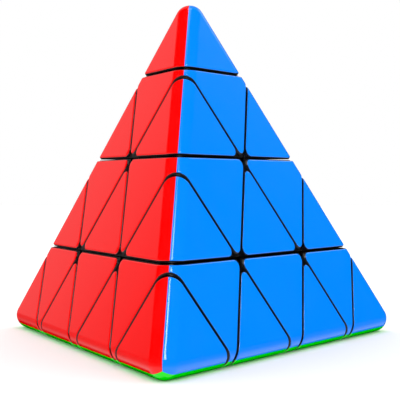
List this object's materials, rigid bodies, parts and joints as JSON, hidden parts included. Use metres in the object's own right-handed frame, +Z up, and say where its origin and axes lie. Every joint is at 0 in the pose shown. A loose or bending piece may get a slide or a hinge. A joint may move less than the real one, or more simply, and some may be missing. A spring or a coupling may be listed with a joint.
{
  "type": "pyramid twisty puzzle",
  "caption": "Tetrahedral twisty puzzle with rounded edges and glossy coloured caps over black pieces, whose layers turn about its corners at three depths round a hidden core.",
  "frame": {"origin": "centre of the tetrahedron, where the four turning axes meet", "axes": "+Z up to the top corner, square to the base face; -Y towards the front corner; +X towards the right corner"},
  "size_m": [0.0908, 0.0794, 0.0752],
  "materials": {
    "red_plastic": "glossy moulded ABS cap",
    "blue_plastic": "glossy moulded ABS cap",
    "green_plastic": "glossy moulded ABS cap",
    "yellow_plastic": "glossy moulded ABS cap",
    "black_plastic": "satin black moulded ABS",
    "screw_steel": "zinc-plated steel",
    "spring_steel": "drawn spring wire"
  },
  "bodies": {
    "core": {"core": "black_plastic", "axis_screws": "screw_steel", "axis_springs": "spring_steel", "axis_washers": "screw_steel"},
    "apex_hub_body": {"apex_hub": "black_plastic"},
    "apex_axial": {"apex_axial_body": "black_plastic", "apex_axial_caps": "blue_plastic"},
    "apex_tip": {"apex_tip_body": "black_plastic", "apex_tip_caps": "blue_plastic", "apex_tip_screw": "screw_steel"},
    "apex_wing_front_body": {"apex_wing_front": "blue_plastic"},
    "apex_wing_right_body": {"apex_wing_right": "blue_plastic"},
    "apex_wing_left_body": {"apex_wing_left": "red_plastic"},
    "front_hub_body": {"front_hub": "black_plastic"},
    "front_axial": {"front_axial_body": "black_plastic", "front_axial_caps": "blue_plastic"},
    "front_tip": {"front_tip_body": "black_plastic", "front_tip_caps": "blue_plastic", "front_tip_screw": "screw_steel"},
    "front_wing_apex_body": {"front_wing_apex": "blue_plastic"},
    "front_wing_right_body": {"front_wing_right": "blue_plastic"},
    "front_wing_left_body": {"front_wing_left": "red_plastic"},
    "right_hub_body": {"right_hub": "black_plastic"},
    "right_axial": {"right_axial_body": "black_plastic", "right_axial_caps": "blue_plastic"},
    "right_tip": {"right_tip_body": "black_plastic", "right_tip_caps": "blue_plastic", "right_tip_screw": "screw_steel"},
    "right_wing_apex_body": {"right_wing_apex": "blue_plastic"},
    "right_wing_front_body": {"right_wing_front": "blue_plastic"},
    "right_wing_left_body": {"right_wing_left": "green_plastic"},
    "left_hub_body": {"left_hub": "black_plastic"},
    "left_axial": {"left_axial_body": "black_plastic", "left_axial_caps": "red_plastic"},
    "left_tip": {"left_tip_body": "black_plastic", "left_tip_caps": "red_plastic", "left_tip_screw": "screw_steel"},
    "left_wing_apex_body": {"left_wing_apex": "red_plastic"},
    "left_wing_front_body": {"left_wing_front": "red_plastic"},
    "left_wing_right_body": {"left_wing_right": "green_plastic"},
    "apex_front_middle": {"apex_front_middle_body": "black_plastic", "apex_front_middle_caps": "blue_plastic"},
    "apex_right_middle": {"apex_right_middle_body": "black_plastic", "apex_right_middle_caps": "blue_plastic"},
    "apex_left_middle": {"apex_left_middle_body": "black_plastic", "apex_left_middle_caps": "red_plastic"},
    "front_right_middle": {"front_right_middle_body": "black_plastic", "front_right_middle_caps": "blue_plastic"},
    "front_left_middle": {"front_left_middle_body": "black_plastic", "front_left_middle_caps": "red_plastic"},
    "right_left_middle": {"right_left_middle_body": "black_plastic", "right_left_middle_caps": "green_plastic"},
    "green_centre": {"green_centre_body": "black_plastic", "green_centre_cap": "green_plastic"},
    "yellow_centre": {"yellow_centre_body": "black_plastic", "yellow_centre_cap": "yellow_plastic"},
    "red_centre": {"red_centre_body": "black_plastic", "red_centre_cap": "red_plastic"},
    "blue_centre": {"blue_centre_body": "black_plastic", "blue_centre_cap": "blue_plastic"}
  },
  "joints": [
    {"name": "apex_three_layer_turn", "type": "hinge", "parent": "core", "child": "apex_hub_body", "pos_m": [0, 0, 0], "axis": [0, 0, 1], "range_deg": [-480, 480]},
    {"name": "apex_corner_turn", "type": "hinge", "parent": "apex_hub_body", "child": "apex_axial", "pos_m": [0, 0, 0], "axis": [0, 0, 1], "continuous": true},
    {"name": "apex_tip_turn", "type": "hinge", "parent": "apex_axial", "child": "apex_tip", "pos_m": [0, 0, 0], "axis": [0, 0, 1], "continuous": true},
    {"name": "front_three_layer_turn", "type": "hinge", "parent": "core", "child": "front_hub_body", "pos_m": [0, 0, 0], "axis": [0, -0.9428, -0.3333], "range_deg": [-360, 360]},
    {"name": "front_corner_turn", "type": "hinge", "parent": "front_hub_body", "child": "front_axial", "pos_m": [0, 0, 0], "axis": [0, -0.9428, -0.3333], "range_deg": [-360, 360]},
    {"name": "front_tip_turn", "type": "hinge", "parent": "front_axial", "child": "front_tip", "pos_m": [0, 0, 0], "axis": [0, -0.9428, -0.3333], "continuous": true},
    {"name": "right_three_layer_turn", "type": "hinge", "parent": "core", "child": "right_hub_body", "pos_m": [0, 0, 0], "axis": [0.8165, 0.4714, -0.3333], "range_deg": [-360, 360]},
    {"name": "right_corner_turn", "type": "hinge", "parent": "right_hub_body", "child": "right_axial", "pos_m": [0, 0, 0], "axis": [0.8165, 0.4714, -0.3333], "range_deg": [-360, 360]},
    {"name": "right_tip_turn", "type": "hinge", "parent": "right_axial", "child": "right_tip", "pos_m": [0, 0, 0], "axis": [0.8165, 0.4714, -0.3333], "continuous": true},
    {"name": "left_three_layer_turn", "type": "hinge", "parent": "core", "child": "left_hub_body", "pos_m": [0, 0, 0], "axis": [-0.8165, 0.4714, -0.3333], "range_deg": [-360, 360]},
    {"name": "left_corner_turn", "type": "hinge", "parent": "left_hub_body", "child": "left_axial", "pos_m": [0, 0, 0], "axis": [-0.8165, 0.4714, -0.3333], "range_deg": [-360, 360]},
    {"name": "left_tip_turn", "type": "hinge", "parent": "left_axial", "child": "left_tip", "pos_m": [0, 0, 0], "axis": [-0.8165, 0.4714, -0.3333], "continuous": true},
    {"name": "apex_wing_front_with_front_layers", "type": "hinge", "parent": "apex_axial", "child": "apex_wing_front_body", "pos_m": [0, 0, 0], "axis": [0, -0.9428, -0.3333], "range_deg": [-360, 360]},
    {"name": "apex_wing_right_with_right_layers", "type": "hinge", "parent": "apex_axial", "child": "apex_wing_right_body", "pos_m": [0, 0, 0], "axis": [0.8165, 0.4714, -0.3333], "range_deg": [-360, 360]},
    {"name": "apex_wing_left_with_left_layers", "type": "hinge", "parent": "apex_axial", "child": "apex_wing_left_body", "pos_m": [0, 0, 0], "axis": [-0.8165, 0.4714, -0.3333], "range_deg": [-360, 360]},
    {"name": "front_wing_apex_with_apex_layers", "type": "hinge", "parent": "front_axial", "child": "front_wing_apex_body", "pos_m": [0, 0, 0], "axis": [0, 0, 1], "range_deg": [-480, 480]},
    {"name": "front_wing_right_with_right_layers", "type": "hinge", "parent": "front_axial", "child": "front_wing_right_body", "pos_m": [0, 0, 0], "axis": [0.8165, 0.4714, -0.3333], "range_deg": [-360, 360]},
    {"name": "front_wing_left_with_left_layers", "type": "hinge", "parent": "front_axial", "child": "front_wing_left_body", "pos_m": [0, 0, 0], "axis": [-0.8165, 0.4714, -0.3333], "range_deg": [-360, 360]},
    {"name": "right_wing_apex_with_apex_layers", "type": "hinge", "parent": "right_axial", "child": "right_wing_apex_body", "pos_m": [0, 0, 0], "axis": [0, 0, 1], "range_deg": [-480, 480]},
    {"name": "right_wing_front_with_front_layers", "type": "hinge", "parent": "right_axial", "child": "right_wing_front_body", "pos_m": [0, 0, 0], "axis": [0, -0.9428, -0.3333], "range_deg": [-360, 360]},
    {"name": "right_wing_left_with_left_layers", "type": "hinge", "parent": "right_axial", "child": "right_wing_left_body", "pos_m": [0, 0, 0], "axis": [-0.8165, 0.4714, -0.3333], "range_deg": [-360, 360]},
    {"name": "left_wing_apex_with_apex_layers", "type": "hinge", "parent": "left_axial", "child": "left_wing_apex_body", "pos_m": [0, 0, 0], "axis": [0, 0, 1], "range_deg": [-480, 480]},
    {"name": "left_wing_front_with_front_layers", "type": "hinge", "parent": "left_axial", "child": "left_wing_front_body", "pos_m": [0, 0, 0], "axis": [0, -0.9428, -0.3333], "range_deg": [-360, 360]},
    {"name": "left_wing_right_with_right_layers", "type": "hinge", "parent": "left_axial", "child": "left_wing_right_body", "pos_m": [0, 0, 0], "axis": [0.8165, 0.4714, -0.3333], "range_deg": [-360, 360]},
    {"name": "apex_front_middle_with_front_layers", "type": "hinge", "parent": "apex_hub_body", "child": "apex_front_middle", "pos_m": [0, 0, 0], "axis": [0, -0.9428, -0.3333], "range_deg": [-360, 360]},
    {"name": "apex_right_middle_with_right_layers", "type": "hinge", "parent": "apex_hub_body", "child": "apex_right_middle", "pos_m": [0, 0, 0], "axis": [0.8165, 0.4714, -0.3333], "range_deg": [-360, 360]},
    {"name": "apex_left_middle_with_left_layers", "type": "hinge", "parent": "apex_hub_body", "child": "apex_left_middle", "pos_m": [0, 0, 0], "axis": [-0.8165, 0.4714, -0.3333], "range_deg": [-360, 360]},
    {"name": "front_right_middle_with_right_layers", "type": "hinge", "parent": "front_hub_body", "child": "front_right_middle", "pos_m": [0, 0, 0], "axis": [0.8165, 0.4714, -0.3333], "range_deg": [-360, 360]},
    {"name": "front_left_middle_with_left_layers", "type": "hinge", "parent": "front_hub_body", "child": "front_left_middle", "pos_m": [0, 0, 0], "axis": [-0.8165, 0.4714, -0.3333], "range_deg": [-360, 360]},
    {"name": "right_left_middle_with_left_layers", "type": "hinge", "parent": "right_hub_body", "child": "right_left_middle", "pos_m": [0, 0, 0], "axis": [-0.8165, 0.4714, -0.3333], "range_deg": [-360, 360]},
    {"name": "green_centre_with_left_layers", "type": "hinge", "parent": "front_right_middle", "child": "green_centre", "pos_m": [0, 0, 0], "axis": [-0.8165, 0.4714, -0.3333], "range_deg": [-360, 360]},
    {"name": "yellow_centre_with_left_layers", "type": "hinge", "parent": "apex_right_middle", "child": "yellow_centre", "pos_m": [0, 0, 0], "axis": [-0.8165, 0.4714, -0.3333], "range_deg": [-360, 360]},
    {"name": "red_centre_with_left_layers", "type": "hinge", "parent": "apex_front_middle", "child": "red_centre", "pos_m": [0, 0, 0], "axis": [-0.8165, 0.4714, -0.3333], "range_deg": [-360, 360]},
    {"name": "blue_centre_with_right_layers", "type": "hinge", "parent": "apex_front_middle", "child": "blue_centre", "pos_m": [0, 0, 0], "axis": [0.8165, 0.4714, -0.3333], "range_deg": [-360, 360]}
  ],
  "couplings": [
    {"joint": "apex_wing_front_with_front_layers", "follows": "front_three_layer_turn", "ratio": 1},
    {"joint": "apex_wing_right_with_right_layers", "follows": "right_three_layer_turn", "ratio": 1},
    {"joint": "apex_wing_left_with_left_layers", "follows": "left_three_layer_turn", "ratio": 1},
    {"joint": "front_wing_apex_with_apex_layers", "follows": "apex_three_layer_turn", "ratio": 1},
    {"joint": "front_wing_right_with_right_layers", "follows": "right_three_layer_turn", "ratio": 1},
    {"joint": "front_wing_left_with_left_layers", "follows": "left_three_layer_turn", "ratio": 1},
    {"joint": "right_wing_apex_with_apex_layers", "follows": "apex_three_layer_turn", "ratio": 1},
    {"joint": "right_wing_front_with_front_layers", "follows": "front_three_layer_turn", "ratio": 1},
    {"joint": "right_wing_left_with_left_layers", "follows": "left_three_layer_turn", "ratio": 1},
    {"joint": "left_wing_apex_with_apex_layers", "follows": "apex_three_layer_turn", "ratio": 1},
    {"joint": "left_wing_front_with_front_layers", "follows": "front_three_layer_turn", "ratio": 1},
    {"joint": "left_wing_right_with_right_layers", "follows": "right_three_layer_turn", "ratio": 1},
    {"joint": "apex_front_middle_with_front_layers", "follows": "front_three_layer_turn", "ratio": 1},
    {"joint": "apex_right_middle_with_right_layers", "follows": "right_three_layer_turn", "ratio": 1},
    {"joint": "apex_left_middle_with_left_layers", "follows": "left_three_layer_turn", "ratio": 1},
    {"joint": "front_right_middle_with_right_layers", "follows": "right_three_layer_turn", "ratio": 1},
    {"joint": "front_left_middle_with_left_layers", "follows": "left_three_layer_turn", "ratio": 1},
    {"joint": "right_left_middle_with_left_layers", "follows": "left_three_layer_turn", "ratio": 1},
    {"joint": "green_centre_with_left_layers", "follows": "left_three_layer_turn", "ratio": 1},
    {"joint": "yellow_centre_with_left_layers", "follows": "left_three_layer_turn", "ratio": 1},
    {"joint": "red_centre_with_left_layers", "follows": "left_three_layer_turn", "ratio": 1},
    {"joint": "blue_centre_with_right_layers", "follows": "right_three_layer_turn", "ratio": 1}
  ]
}
